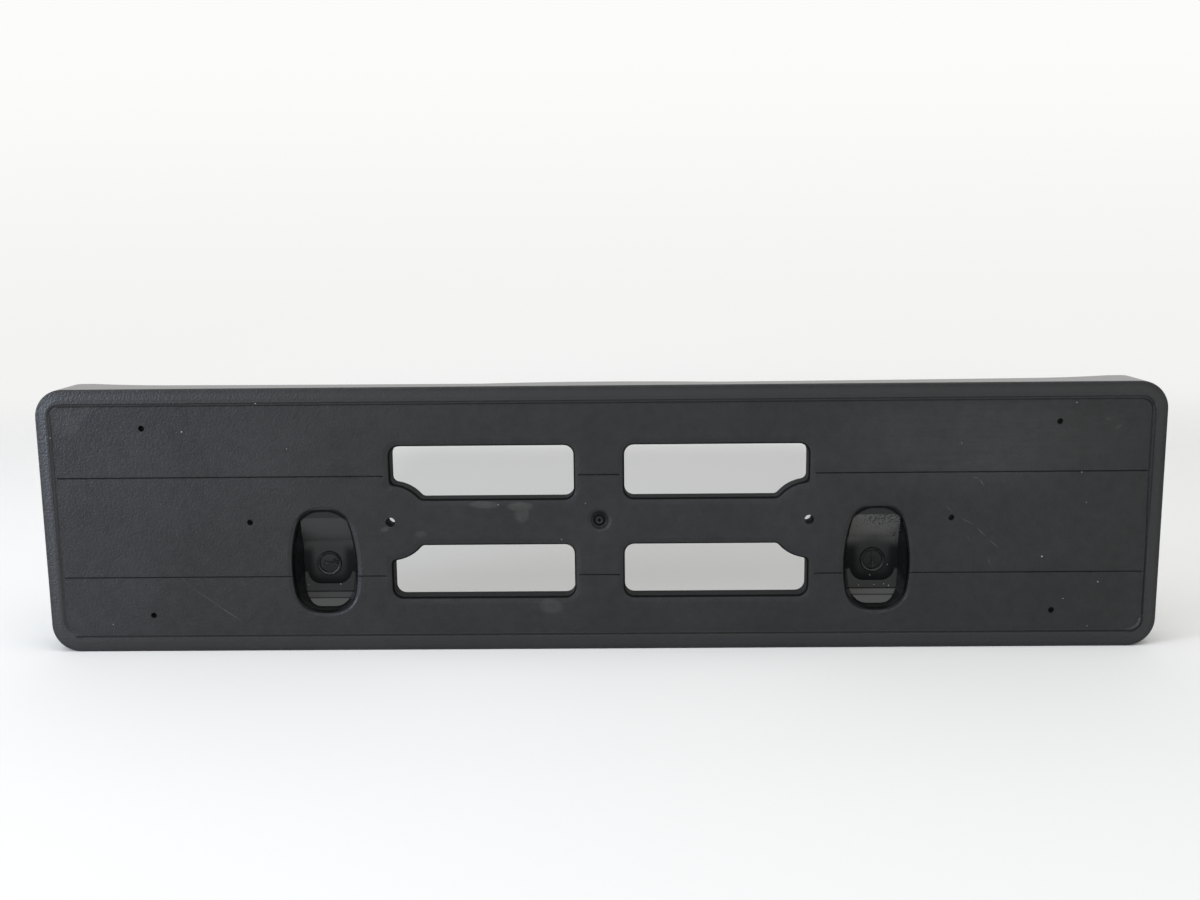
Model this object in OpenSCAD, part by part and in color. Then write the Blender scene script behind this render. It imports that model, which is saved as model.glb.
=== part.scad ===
// Number plate holder for the front of a car, moulded in one piece.
// A flat panel with a raised rim carries the plate. A skirt round the panel
// follows the bumper, and two towers and two pockets reach back to it.
//
// Frame: +X along the holder, +Y from the plate towards the car, +Z up.
// The origin lies midway between the two towers, in the plane of their ends.
// Every depth is measured from the crest of the rim, the foremost plane.
// Every height is measured from the holder's mid-height.

/* [Overall] */
// Width of the holder
holder_w = 535.6; // [500:0.1:560]
// Height of the holder
holder_h = 129; // [122:1:140]
// Radius of the outline's corners
corner_r = 13.5; // [10:0.5:18]
// Thickness of the panel behind the plate
panel_t = 2.4; // [2:0.1:3]
// Thickness of the skirt
skirt_t = 2.4; // [1.8:0.1:3.2]

/* [Rim] */
// Width of the rim at the two short sides
rim_side_w = 6; // [5:0.1:8]
// Width of the rim at the top and the bottom
rim_long_w = 6.9; // [5:0.1:8]
// Width over which the rim falls away to its outer edge
rim_slope_w = 5; // [3:0.1:5]
// How far the rim falls away there
rim_fall = 0.5; // [0.1:0.1:1]
// Rounding of the rim's outer edge
rim_edge_r = 0.9; // [0.6:0.1:1.8]
// Depth of the bed in which the plate lies
bed_depth = 1; // [0.5:0.1:1.5]
// Width of the sloped step down to the bed
bed_step_w = 1.4; // [0.6:0.1:2]
// Corner radius of the step at the top
bed_top_r = 5; // [3:0.5:10]
// Corner radius of the step at the bottom
bed_bottom_r = 9; // [3:0.5:12]

/* [Bumper side] */
// Depth of the holder where the bumper comes closest
skirt_depth = 11.5; // [11:0.1:14]
// Radius of the bumper's face, seen from above
bumper_r = 4800; // [3000:100:9000]
// Distance from the middle at which the bumper turns away
flare_x = 206; // [195:1:215]
// Radius of the bumper where it turns away
flare_r = 125; // [100:1:200]
// Depth of the skirt at its two ends
end_depth = 25; // [22:0.5:36]
// Depth of the skirt's tongue in the middle
tongue_depth = 16.5; // [14.5:0.1:20]
// Radius of the tongue's edge
tongue_r = 340; // [200:1:500]

/* [Windows] */
// Distance from the middle to a window's near edge
window_near_x = 12.1; // [9:0.1:16]
// Distance from the middle to a window's far edge
window_far_x = 99.8; // [92:0.1:101]
// Height of a window
window_h = 25.7; // [20:0.1:28]
// Gap between the upper and the lower windows
window_gap = 22.7; // [20:0.1:26]
// Height of the windows' centre line
window_z = -1.2; // [-3:0.1:3]
// Radius of a window's corners
window_r = 4.6; // [2:0.1:6]
// Radius of the notch that keeps a window clear of the screw tower
notch_r = 18.8; // [16:0.1:20]
// Rounding where the notch meets the window's edges
notch_blend_r = 3; // [1:0.1:4]
// Rounding of the front edge of the windows and the pockets
lip_r = 1.6; // [0.6:0.1:1.8]
// Depth of the wall round a window
window_wall_depth = 11; // [9:0.1:11]
// Thickness of the wall round a window
window_wall_t = 2; // [1.4:0.1:2.6]

/* [Pocket opening] */
// Distance from the middle of the holder to a pocket
pocket_x = 133; // [130:0.5:140]
// Height of the opening's top edge
pocket_top_z = 4.8; // [2:0.1:8]
// Height of the opening
pocket_h = 50.1; // [47:0.1:53]
// Width of the opening
pocket_w = 30.8; // [29:0.1:33]
// Distance of the widest place from the top edge
pocket_widest = 27.8; // [26:0.1:30]
// Radius of the opening's long sides
pocket_side_r = 72; // [62:1:90]
// Radius of the opening's upper corners
pocket_top_r = 8; // [6.5:0.1:12.5]
// Radius of the opening's lower corners
pocket_corner_r = 10.5; // [9:0.1:13]
// Angle by which the pocket narrows with depth
pocket_draft = 15; // [10:0.5:17]
// Thickness of the pocket's walls and floor
pocket_t = 1.5; // [1.2:0.1:2.2]

/* [Pocket floor] */
// Depth of the shelf below the top edge
shelf_depth = 2.3; // [2:0.1:2.8]
// Height of the shelf
shelf_h = 3.7; // [2:0.1:5]
// Slope of the ramp, measured from the plate
ramp_angle = 31; // [28:0.5:36]
// Radius between the ramp and the seat
ramp_blend_r = 14; // [6:0.5:16]
// Depth of the seat
seat_depth = 11.9; // [11.4:0.1:12.4]
// Width of the seat
seat_w = 21.6; // [18:0.1:22.4]
// Radius of the seat's lower corners
seat_corner_r = 6.5; // [4:0.1:8]
// Distance from the opening's bottom edge up to the seat
seat_rise = 11.8; // [10:0.1:13]
// Distance from the opening's bottom edge up to where the ledge leaves the seat's depth
ledge_rise = 17; // [15:0.1:19]
// Distance from the opening's bottom edge up to the crease
crease_rise = 7.5; // [6.5:0.1:8.5]
// How far the crease stands in front of the seat
crease_lift = 1.6; // [1:0.1:2]
// Distance from the opening's bottom edge up to the bottom facet
facet_rise = 4.9; // [4:0.1:6]
// How far the top of the bottom facet stands in front of the seat
facet_lift = 2.7; // [2.2:0.1:3.4]
// Slope of the bottom facet, measured from the plate
facet_angle = 38; // [30:0.5:45]
// Outer diameter of the ring on the seat
ring_d = 11.6; // [9:0.1:14]
// Width of the ring and of its pointer
ring_w = 1; // [0.6:0.1:1.5]
// Height of the ring and the pointer
ring_h = 0.7; // [0.3:0.1:0.8]
// Distance of the ring from the opening's top edge
ring_drop = 28.3; // [26:0.1:31]
// Direction of the left ring's pointer
left_pointer = 12; // [0:1:359]
// Direction of the right ring's pointer
right_pointer = 268; // [0:1:359]

/* [Screw towers] */
// Distance from the middle to a tower
tower_x = 100.4; // [98:0.1:104]
// Height of the towers
tower_z = -0.9; // [-3:0.1:3]
// Diameter of a tower's hole
tower_hole_d = 4.6; // [3.5:0.1:6]
// Outer diameter of a tower
tower_d = 11; // [9:0.1:13]
// Depth of a tower's end
tower_depth = 12.4; // [11.7:0.1:12.6]

/* [Plate screws] */
// Distance between the outer pilot holes, left to right
pilot_span_x = 435; // [400:1:445]
// Distance between the outer pilot holes, bottom to top
pilot_span_z = 92; // [80:1:100]
// Distance between the two inner pilot holes
pilot_inner_span = 336; // [326:1:350]
// Height of the pattern's centre
pilot_z = -0.4; // [-3:0.1:3]
// Diameter of a pilot hole
pilot_d = 2.9; // [2:0.1:4]
// Outer diameter of the boss behind a pilot hole
boss_d = 7.4; // [6.4:0.1:9]
// Depth of a boss's end
boss_depth = 10.6; // [8:0.1:11]

/* [Grooves] */
// Height of the upper groove
groove_top_z = 21.6; // [16:0.1:28]
// Height of the lower groove
groove_bottom_z = -27.5; // [-33:0.1:-20]
// Width of a groove
groove_w = 0.9; // [0.5:0.1:1.4]
// Depth of a groove
groove_depth = 0.5; // [0.3:0.1:0.8]
// Distance that a groove keeps from the bed's step
groove_end_gap = 0.8; // [0.3:0.1:6]
// Distance that a groove keeps from a window
groove_window_gap = 3.4; // [1.5:0.1:6]
// Distance that the short middle groove keeps from the windows
groove_middle_gap = 2.3; // [1.8:0.1:6]

/* [Gate mark] */
// Diameter of the dimple in the middle of the panel
gate_d = 8.7; // [7:0.1:11]
// Depth of the dimple in the bed
gate_depth = 0.8; // [0.4:0.1:0.9]
// Diameter of the dimple's inner step
gate_step_d = 5.5; // [4.5:0.1:6.5]
// Depth of the inner step below the dimple
gate_step_depth = 0.5; // [0.2:0.1:0.6]
// Diameter of the cut sprue in the dimple
sprue_d = 3.5; // [2.5:0.1:4]
// Diameter of the pit in the sprue
sprue_pit_d = 1.1; // [0.6:0.1:1.6]

/* [Ribs] */
// Thickness of the ribs on the bumper's side
rib_t = 1.8; // [1.2:0.1:2.4]
// Depth of the ribs' edge
rib_depth = 9.5; // [6:0.1:10.5]
// Distance from the middle to the outer ribs
rib_outer_x = 193; // [186:1:205]

/* [Hidden] */
$fn = 96;

// Overlap of joined solids and of cuts
eps = 0.3;
// Depth of the skirt before the bumper's shape is cut from it
skirt_blank = 60;
// Length of a cut that passes the whole height
cut_length = 2 * holder_h;
// Centres of the outline's corners
corner_x = holder_w / 2 - corner_r;
corner_z = holder_h / 2 - corner_r;
// Back of the panel
panel_back = bed_depth + panel_t;
// Half sizes of the bed at the crest
bed_x = holder_w / 2 - rim_side_w;
bed_z = holder_h / 2 - rim_long_w;

// Arc of the bumper that turns away: it meets the bumper's face without a kink
flare_slope = asin(flare_x / bumper_r);
flare_cx = flare_x - flare_r * sin(flare_slope);
flare_cy = bumper_y_face(flare_x) + flare_r * cos(flare_slope);
// Step between the points of the bumper's outline
bumper_step = 5;

// Windows, measured from their notch: u towards the middle, w away from the centre line
window_u0 = tower_x - window_far_x;
window_u1 = tower_x - window_near_x;
window_w0 = window_gap / 2;
window_w1 = window_w0 + window_h;

// Pocket opening: each corner's arc touches the arc of the side and a straight end
side_cx = pocket_side_r - pocket_w / 2;
wide_z = pocket_top_z - pocket_widest;
pocket_bottom_z = pocket_top_z - pocket_h;
head_z = pocket_top_z - pocket_top_r;
head_x = corner_centre_x(pocket_top_r, head_z);
head_angle = atan2(head_z - wide_z, side_cx + head_x);
foot_z = pocket_bottom_z + pocket_corner_r;
foot_x = corner_centre_x(pocket_corner_r, foot_z);
foot_angle = atan2(foot_z - wide_z, side_cx + foot_x);

// Steps of a small arc and of a rounded edge
arc_steps = 6;
edge_steps = 4;
// Depth of the straight start of a rounded edge
edge_start = 0.02;

function arc(c, r, a0, a1, n) = [for (i = [0 : n]) c + r * [cos(a0 + (a1 - a0) * i / n), sin(a0 + (a1 - a0) * i / n)]];

// The same without its two ends, between arcs that already have them
function arc_inside(c, r, a0, a1, n) = [for (i = [1 : n - 1]) c + r * [cos(a0 + (a1 - a0) * i / n), sin(a0 + (a1 - a0) * i / n)]];

// Points of an outline, set at a depth
function at_depth(outline, y) = [for (p = outline) [p.x, y, p.y]];

// Depth of the bumper's face and of the whole bumper at a distance from the middle
function bumper_y_face(x) = skirt_depth + bumper_r - sqrt(bumper_r * bumper_r - x * x);
function bumper_y(x) = abs(x) <= flare_x
    ? bumper_y_face(x)
    : min(end_depth, flare_cy - sqrt(flare_r * flare_r - pow(min(abs(x) - flare_cx, flare_r), 2)));

// Outline of the bed: a rectangle with small corners at the top and larger ones at the bottom
function bed_outline(grow) = concat(
    arc([-bed_x + bed_bottom_r, -bed_z + bed_bottom_r], bed_bottom_r + grow, 180, 270, arc_steps),
    arc([bed_x - bed_bottom_r, -bed_z + bed_bottom_r], bed_bottom_r + grow, 270, 360, arc_steps),
    arc([bed_x - bed_top_r, bed_z - bed_top_r], bed_top_r + grow, 0, 90, arc_steps),
    arc([-bed_x + bed_top_r, bed_z - bed_top_r], bed_top_r + grow, 90, 180, arc_steps)
);

// Outline of a window in u and w, with every edge moved outwards by grow
function window_outline(grow) =
    let (
        blend = notch_r + notch_blend_r,
        side_u = window_u0 + notch_blend_r,
        side_w = sqrt(blend * blend - side_u * side_u),
        foot_w = window_w0 + notch_blend_r,
        foot_u = sqrt(blend * blend - foot_w * foot_w),
        side_a = atan2(side_w, side_u),
        foot_a = atan2(foot_w, foot_u)
    )
    concat(
        arc([window_u1 - window_r, window_w0 + window_r], window_r + grow, -90, 0, arc_steps),
        arc([window_u1 - window_r, window_w1 - window_r], window_r + grow, 0, 90, arc_steps),
        arc([window_u0 + window_r, window_w1 - window_r], window_r + grow, 90, 180, arc_steps),
        arc([side_u, side_w], notch_blend_r + grow, 180, 180 + side_a, arc_steps),
        arc_inside([0, 0], notch_r - grow, side_a, foot_a, arc_steps),
        arc([foot_u, foot_w], notch_blend_r + grow, 180 + foot_a, 270, arc_steps)
    );

// Distance from the pocket's middle to the centre of a corner that touches the side's arc
function corner_centre_x(r, z) = sqrt(pow(pocket_side_r - r, 2) - pow(z - wide_z, 2)) - side_cx;

// Growth of the pocket's outline at a depth, negative because it narrows
function pocket_grow(y) = -(y - bed_depth) * tan(pocket_draft);

// Outline of a pocket's opening, a barrel with its narrower end up
function pocket_outline(grow) = concat(
    arc([-foot_x, foot_z], pocket_corner_r + grow, 180 - foot_angle, 270, arc_steps),
    arc([foot_x, foot_z], pocket_corner_r + grow, 270, 360 + foot_angle, arc_steps),
    arc_inside([-side_cx, wide_z], pocket_side_r + grow, foot_angle, head_angle, arc_steps),
    arc([head_x, head_z], pocket_top_r + grow, head_angle, 90, arc_steps),
    arc([-head_x, head_z], pocket_top_r + grow, 90, 180 - head_angle, arc_steps),
    arc_inside([side_cx, wide_z], pocket_side_r + grow, 180 - head_angle, 180 - foot_angle, arc_steps)
);

// Growth and depth of a rounded front edge, from the bed inwards
lip = [for (i = [0 : edge_steps]) let (a = 90 * i / edge_steps)
    [lip_r * (1 - sin(a)), bed_depth + edge_start + lip_r * (1 - cos(a))]];

// Line of the pocket's floor from the shelf down to the bottom facet, as depth and height
function pocket_floor(back) =
    let (
        shelf_z = pocket_top_z - shelf_h,
        ramp_end_z = shelf_z - (seat_depth - shelf_depth) / tan(ramp_angle),
        tangent = ramp_blend_r * tan(ramp_angle / 2),
        blend_z = ramp_end_z - tangent
    )
    concat(
        [[shelf_depth + back, pocket_top_z + pocket_h], [shelf_depth + back, shelf_z]],
        [for (a = [ramp_angle : -ramp_angle / arc_steps : 0])
            [seat_depth - ramp_blend_r * (1 - cos(a)) + back, blend_z + ramp_blend_r * sin(a)]],
        [
            [seat_depth + back, pocket_bottom_z + ledge_rise],
            [seat_depth - crease_lift + back, pocket_bottom_z + crease_rise],
            [seat_depth - facet_lift + back, pocket_bottom_z + facet_rise],
            [seat_depth - facet_lift + back - pocket_h * tan(facet_angle), pocket_bottom_z + facet_rise - pocket_h]
        ]
    );

// A solid through rings with equal numbers of points, the front ring first
module loft(rings) {
    n = len(rings[0]);
    last = (len(rings) - 1) * n;
    sides = [
        for (j = [0 : len(rings) - 2], i = [0 : n - 1])
            let (a = j * n + i, b = j * n + (i + 1) % n)
                each [[a, b, b + n], [a, b + n, a + n]]
    ];
    front = [[for (i = [n - 1 : -1 : 0]) i]];
    back = [[for (i = [0 : n - 1]) last + i]];
    polyhedron([for (r = rings) each r], concat(front, sides, back));
}

module both_sides() {
    children();
    mirror([1, 0, 0]) children();
}

// A cylinder along Y between two depths
module rod(x, z, d, y0, y1) {
    translate([x, y0, z]) rotate([-90, 0, 0]) cylinder(d = d, h = y1 - y0);
}

// A shape drawn as depth and height, extruded along X about the middle
module along_x(length) {
    rotate([90, 0, 90]) linear_extrude(height = length, center = true) children();
}

// Section of the skirt and the rim: distance from the corner's centre, and depth
module skirt_section() {
    edge_x = corner_r - rim_edge_r;
    edge_y = rim_fall + rim_edge_r;
    polygon([[0, 0], [corner_r - rim_slope_w, 0], [edge_x, rim_fall], [edge_x, panel_back], [0, panel_back]]);
    translate([edge_x, edge_y]) circle(r = rim_edge_r);
    translate([corner_r - skirt_t, edge_y]) square([skirt_t, skirt_blank - edge_y]);
}

// The section carried round the outline, with a quarter turn at each corner.
// It is drawn with the depth upwards and turned over at the end.
module skirt() {
    rotate([90, 0, 180])
        for (side = [0 : 3]) {
            across = side % 2 == 0 ? corner_x : corner_z;
            along = side % 2 == 0 ? corner_z : corner_x;
            rotate([0, 0, 90 * side]) translate([across, along, 0]) {
                rotate_extrude(angle = 90) skirt_section();
                rotate([90, 0, 0]) linear_extrude(height = 2 * along) skirt_section();
            }
        }
}

module panel() {
    translate([-corner_x, 0, -corner_z]) cube([2 * corner_x, panel_back, 2 * corner_z]);
}

// Everything behind the bumper's face, with the dip that the tongue fills
module bumper() {
    reach = holder_w / 2 + bumper_step;
    linear_extrude(height = cut_length, center = true) difference() {
        polygon(concat(
            [for (x = [-reach : bumper_step : reach]) [x, bumper_y(x)]],
            [[reach, 2 * skirt_blank], [-reach, 2 * skirt_blank]]
        ));
        translate([0, tongue_depth - tongue_r]) circle(r = tongue_r, $fn = 360);
    }
}

// The hollow of the bed, with its sloped step
module bed() {
    loft([
        at_depth(bed_outline(bed_step_w), -bed_depth),
        at_depth(bed_outline(-bed_step_w), bed_depth)
    ]);
}

// Places children at the four windows: the first is drawn from its notch towards the middle
module at_windows() {
    translate([0, 0, window_z]) both_sides() translate([-tower_x, 0, 0]) {
        children();
        mirror([0, 0, 1]) children();
    }
}

module window_wall() {
    rotate([90, 0, 0]) translate([0, 0, -window_wall_depth])
        linear_extrude(height = window_wall_depth - panel_back + eps) polygon(window_outline(window_wall_t));
}

module window_cut() {
    loft(concat(
        [at_depth(window_outline(lip_r), bed_depth - eps)],
        [for (e = lip) at_depth(window_outline(e.x), e.y)],
        [at_depth(window_outline(0), window_wall_depth + eps)]
    ));
}

module pocket_body() {
    intersection() {
        loft([for (y = [panel_back - eps, seat_depth + pocket_t])
            at_depth(pocket_outline(pocket_t + pocket_grow(y)), y)]);
        along_x(2 * pocket_w) polygon(concat(pocket_floor(pocket_t), [[-pocket_h, -pocket_h], [-pocket_h, pocket_h]]));
    }
}

module pocket_cut() {
    intersection() {
        loft(concat(
            [at_depth(pocket_outline(lip_r), bed_depth - eps)],
            [for (e = lip) at_depth(pocket_outline(e.x + pocket_grow(e.y)), e.y)],
            [at_depth(pocket_outline(pocket_grow(seat_depth + eps)), seat_depth + eps)]
        ));
        along_x(2 * pocket_w) polygon(concat(pocket_floor(0), [[-pocket_h, -pocket_h], [-pocket_h, pocket_h]]));
    }
    seat_cut();
}

// The seat: a flat with round lower corners, sunk into the ledge
module seat_cut() {
    z0 = pocket_bottom_z + seat_rise;
    h = ledge_rise - seat_rise + seat_corner_r;
    rotate([90, 0, 0]) translate([0, 0, -seat_depth]) linear_extrude(height = facet_lift) {
        translate([-seat_w / 2, z0 + seat_corner_r]) square([seat_w, h - seat_corner_r]);
        translate([-seat_w / 2 + seat_corner_r, z0]) square([seat_w - 2 * seat_corner_r, h]);
        for (s = [-1, 1])
            translate([s * (seat_w / 2 - seat_corner_r), z0 + seat_corner_r]) circle(r = seat_corner_r);
    }
}

// Raised ring with a pointer on the seat
module seat_mark(turn) {
    front = seat_depth - ring_h;
    translate([0, 0, pocket_top_z - ring_drop]) {
        difference() {
            rod(0, 0, ring_d, front, seat_depth + eps);
            rod(0, 0, ring_d - 2 * ring_w, front - eps, seat_depth + 2 * eps);
        }
        rotate([0, turn, 0]) translate([-ring_d / 4, front, -ring_w / 2])
            cube([ring_d / 4 + (ring_d - ring_w) / 2, ring_h + eps, ring_w]);
    }
}

module at_pilots() {
    for (x = [-1, 1]) {
        for (z = [-1, 1]) translate([x * pilot_span_x / 2, 0, pilot_z + z * pilot_span_z / 2]) children();
        translate([x * pilot_inner_span / 2, 0, pilot_z]) children();
    }
}

// A rib that stands on the panel between two points, along X or along Z
module rib(x0, z0, x1, z1) {
    translate([min(x0, x1) - (z0 == z1 ? 0 : rib_t / 2), panel_back - eps, min(z0, z1) - (z0 == z1 ? rib_t / 2 : 0)])
        cube([z0 == z1 ? abs(x1 - x0) : rib_t, rib_depth - panel_back + eps, z0 == z1 ? rib_t : abs(z1 - z0)]);
}

// Ribs of one half, from the skirt to the windows, the pocket and the bosses
module ribs() {
    skirt_z = holder_h / 2 - skirt_t / 2;
    window_x = (window_near_x + window_far_x) / 2;
    rib(rib_outer_x, -skirt_z, rib_outer_x, skirt_z);
    rib(window_x, window_z + window_w1 + window_wall_t - eps, window_x, skirt_z);
    rib(window_x, -skirt_z, window_x, window_z - window_w1 - window_wall_t + eps);
    rib(pocket_x, head_z, pocket_x, skirt_z);
    rib(pocket_x, -skirt_z, pocket_x, pocket_bottom_z + facet_rise);
    rib(tower_x + tower_d / 2 - eps, tower_z, pocket_x, tower_z);
    rib(pocket_x, pilot_z, pilot_inner_span / 2 - boss_d / 2 + eps, pilot_z);
    rib(pilot_inner_span / 2 + boss_d / 2 - eps, pilot_z, holder_w / 2 - skirt_t / 2, pilot_z);
}

module groove(x0, x1, z) {
    translate([(x0 + x1) / 2, 0, z]) along_x(x1 - x0)
        polygon([[bed_depth - groove_depth, -groove_w], [bed_depth + groove_depth, 0], [bed_depth - groove_depth, groove_w]]);
}

module grooves() {
    end = bed_x - bed_step_w - groove_end_gap;
    for (z = [groove_top_z, groove_bottom_z]) {
        both_sides() groove(window_far_x + groove_window_gap, end, z);
        groove(-window_near_x + groove_middle_gap, window_near_x - groove_middle_gap, z);
    }
}

module gate_mark() {
    floor_y = bed_depth + gate_depth + gate_step_depth;
    difference() {
        union() {
            rod(0, pilot_z, gate_d, bed_depth - eps, bed_depth + gate_depth);
            rod(0, pilot_z, gate_step_d, bed_depth, floor_y);
        }
        rod(0, pilot_z, sprue_d, bed_depth, floor_y + eps);
    }
    rod(0, pilot_z, sprue_pit_d, bed_depth - eps, floor_y);
}

module plate_holder() {
    color("#3a3b3d") translate([0, -tower_depth, -tower_z]) difference() {
        union() {
            difference() {
                skirt();
                bumper();
            }
            panel();
            at_windows() window_wall();
            both_sides() {
                translate([pocket_x, 0, 0]) pocket_body();
                rod(tower_x, tower_z, tower_d, panel_back - eps, tower_depth);
                ribs();
            }
            at_pilots() rod(0, 0, boss_d, panel_back - eps, boss_depth);
        }
        bed();
        at_windows() window_cut();
        difference() {
            both_sides() translate([pocket_x, 0, 0]) pocket_cut();
            translate([-pocket_x, 0, 0]) seat_mark(left_pointer);
            translate([pocket_x, 0, 0]) seat_mark(right_pointer);
        }
        both_sides() rod(tower_x, tower_z, tower_hole_d, -eps, tower_depth + eps);
        at_pilots() rod(0, 0, pilot_d, -eps, boss_depth + eps);
        grooves();
        gate_mark();
    }
}

plate_holder();
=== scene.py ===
"""Looks of a number plate holder: finish of the moulding, mould marks, studio and camera.

The frame is that of the CAD model: +X along the holder, +Y from the plate
towards the car, +Z up. The named lengths below and the places that the two
plastics read are in millimetres, and the studio is in metres.
"""
import math
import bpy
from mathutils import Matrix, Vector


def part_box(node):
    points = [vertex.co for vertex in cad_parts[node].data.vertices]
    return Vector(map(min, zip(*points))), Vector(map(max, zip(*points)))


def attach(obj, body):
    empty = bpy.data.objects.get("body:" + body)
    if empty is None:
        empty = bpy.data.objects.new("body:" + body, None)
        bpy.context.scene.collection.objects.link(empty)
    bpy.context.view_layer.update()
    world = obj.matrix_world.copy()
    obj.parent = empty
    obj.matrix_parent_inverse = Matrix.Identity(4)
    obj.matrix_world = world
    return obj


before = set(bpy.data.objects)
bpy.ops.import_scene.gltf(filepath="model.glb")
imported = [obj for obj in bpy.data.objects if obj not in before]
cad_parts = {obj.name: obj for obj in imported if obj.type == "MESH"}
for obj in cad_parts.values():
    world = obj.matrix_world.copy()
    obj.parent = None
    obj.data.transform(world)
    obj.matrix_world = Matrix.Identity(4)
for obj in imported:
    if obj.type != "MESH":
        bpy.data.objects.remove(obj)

from types import SimpleNamespace

import bmesh
import bpy
import numpy as np
from mathutils import Matrix

bl_info = {
    "name": "Number Plate Holder",
    "version": (1, 0, 0),
    "blender": (4, 5, 0),
    "location": "View3D > Sidebar > Plate Holder",
    "description": "Finish, studio and camera for a moulded number plate holder",
    "category": "Object",
}

MM = 0.001
HOLDER = "plate_holder"
LOW, HIGH = (np.array(corner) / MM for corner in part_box(HOLDER))
# Rim: how far its crest stands before the bed, and its width beside the bed and above it
RIM_RISE = 1.0
RIM_SIDE_W = 6.0
RIM_TOP_W = 6.9
# Bed of the plate: depth, height of its middle, half width, half height and corner radius
BED_Y = float(LOW[1]) + RIM_RISE
MIDDLE_Z = float(LOW[2] + HIGH[2]) / 2
BED_HALF_X = float(HIGH[0]) - RIM_SIDE_W
BED_HALF_Z = float(HIGH[2] - LOW[2]) / 2 - RIM_TOP_W
BED_R = 7.0
# Sloped step between bed and rim: its middle, outwards from the bed's edge, and its half width
STEP_MIDDLE = -0.7
STEP_HALF_W = 0.9
# Windows: height of their centre line, near and far edge from the middle, low and high edge from
# the centre line, corner radius
WINDOW_Z = -0.3
WINDOW_NEAR = 12.1
WINDOW_FAR = 99.8
WINDOW_LOW = 11.35
WINDOW_HIGH = 37.05
WINDOW_R = 4.6
# Notch of the windows round a screw tower: radius, softness of its corners, and the tower's place
NOTCH_R = 18.8
NOTCH_SOFT = 3.0
TOWER_X = 100.4
# Rounding of the front edge of the windows and the pockets
LIP_R = 1.6
# Pockets: place, arc of the long sides (radius, centre beyond the middle, height of the widest
# part), radius of the upper and the lower corners, height of the middle, half height
POCKET_X = 133.0
POCKET_SIDE_R = 72.0
POCKET_SIDE_X = 56.6
POCKET_WIDE_Z = -22.1
POCKET_TOP_R = 8.0
POCKET_FOOT_R = 10.5
POCKET_MIDDLE_Z = -19.35
POCKET_HALF_H = 25.05
# Seat in the pockets: depth, half width, low edge, corner radius, height of its ring's middle
SEAT_Y = -0.5
SEAT_HALF_W = 10.8
SEAT_LOW_Z = -32.6
SEAT_CORNER_R = 6.5
SEAT_RING_Z = -22.6
# Heights in the pockets: under the shelf, end of the ramp, top of the ledge, crease and bottom facet
SHELF_Z = 2.0
RAMP_END_Z = -12.0
LEDGE_Z = -27.4
CREASE_Z = -36.9
FACET_Z = -39.5
# Gate: height of its middle, and radius of the dimple's edge, and of the painted shade in its pit, on its
# ring and under its upper edge
GATE_Z = 0.5
GATE_EDGE_R = 4.7
GATE_PIT_R = 1.0
GATE_DARK_R = 2.45
GATE_SHADE_R = 4.2

# Insert mark: radius of its ring, reach of its pointer's shaft backwards and forwards, place and
# reach of the barbs
MARK_R = 5.3
POINTER_TAIL = 2.8
POINTER_HEAD = 4.6
POINTER_TIP = 3.9
BARB = 1.9
# Fine rings of the gate: radius of both, and depth of the outer one behind the bed
GATE_INNER_R = 1.55
GATE_OUTER_R = 3.5
GATE_OUTER_DEPTH = 0.8
# Half width and height of the raised lines of the marks
MARK_LINE = (0.8, 1.05)
SHAFT_LINE = (0.62, 0.95)
BARB_LINE = (0.45, 0.6)
GATE_LINE = (0.32, 0.3)
# Points round a ring and along a bar, each followed by the points round its section
RING_POINTS = 96
RING_SECTION_POINTS = 16
BAR_POINTS = 17
BAR_SECTION_POINTS = 12

# Index of refraction of polypropylene
POLYPROPYLENE_IOR = 1.49
# Black grits on the right ramp: spacing, and radius where they are few and where they crowd
GRIT_SPACING = 1.1
GRIT_FEW_R = 0.18
GRIT_CROWDED_R = 0.54

# Camera of the photo: place, right, view and up directions, lens and sensor width
CAMERA_PLACE = (9.22, -619.781, 137.185)
CAMERA_RIGHT = (0.999873, 0.012401, -0.010058)
CAMERA_VIEW = (-0.013903, 0.985957, -0.166422)
CAMERA_UP = (0.007852, 0.166541, 0.986003)
CAMERA_LENS = 39.0
CAMERA_SENSOR = 36.0

# Backdrop, in metres: front edge and second row of the floor, radius of the bend, height of the wall
FLOOR_FRONT_Y = -2.2
FLOOR_ROW_Y = -0.9
BEND_R = 0.5
WALL_H = 1.6

# Scuffed part of the panel at the upper right: middle x and z, half sizes, turn
SCUFFED = (178.0, 38.0, 88.0, 34.0, 0)
# Scratches: middle x and z, half length and half width, turn in degrees, strength
SCRATCHES = (
    (-202.5, -26.9, 8.6, 0.28, -48, 0.3),
    (-190.0, -37.6, 14.0, 0.3, -36, 0.35),
    (-180.8, -44.4, 10.0, 0.34, -35, 0.55),
    (178.9, 19.8, 1.6, 0.35, -7, 0.6),
    (181.8, 17.5, 2.9, 0.35, -54, 0.7),
    (166.8, 4.7, 3.2, 0.3, -42, 0.45),
    (175.5, -1.3, 4.8, 0.3, -29, 0.5),
    (182.5, -6.6, 4.6, 0.35, -45, 0.6),
    (188.7, -12.5, 4.4, 0.35, -43, 0.55),
    (186.7, -20.9, 2.6, 0.35, -73, 0.5),
    (176.5, -9.8, 2.2, 0.3, -54, 0.3),
)
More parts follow.
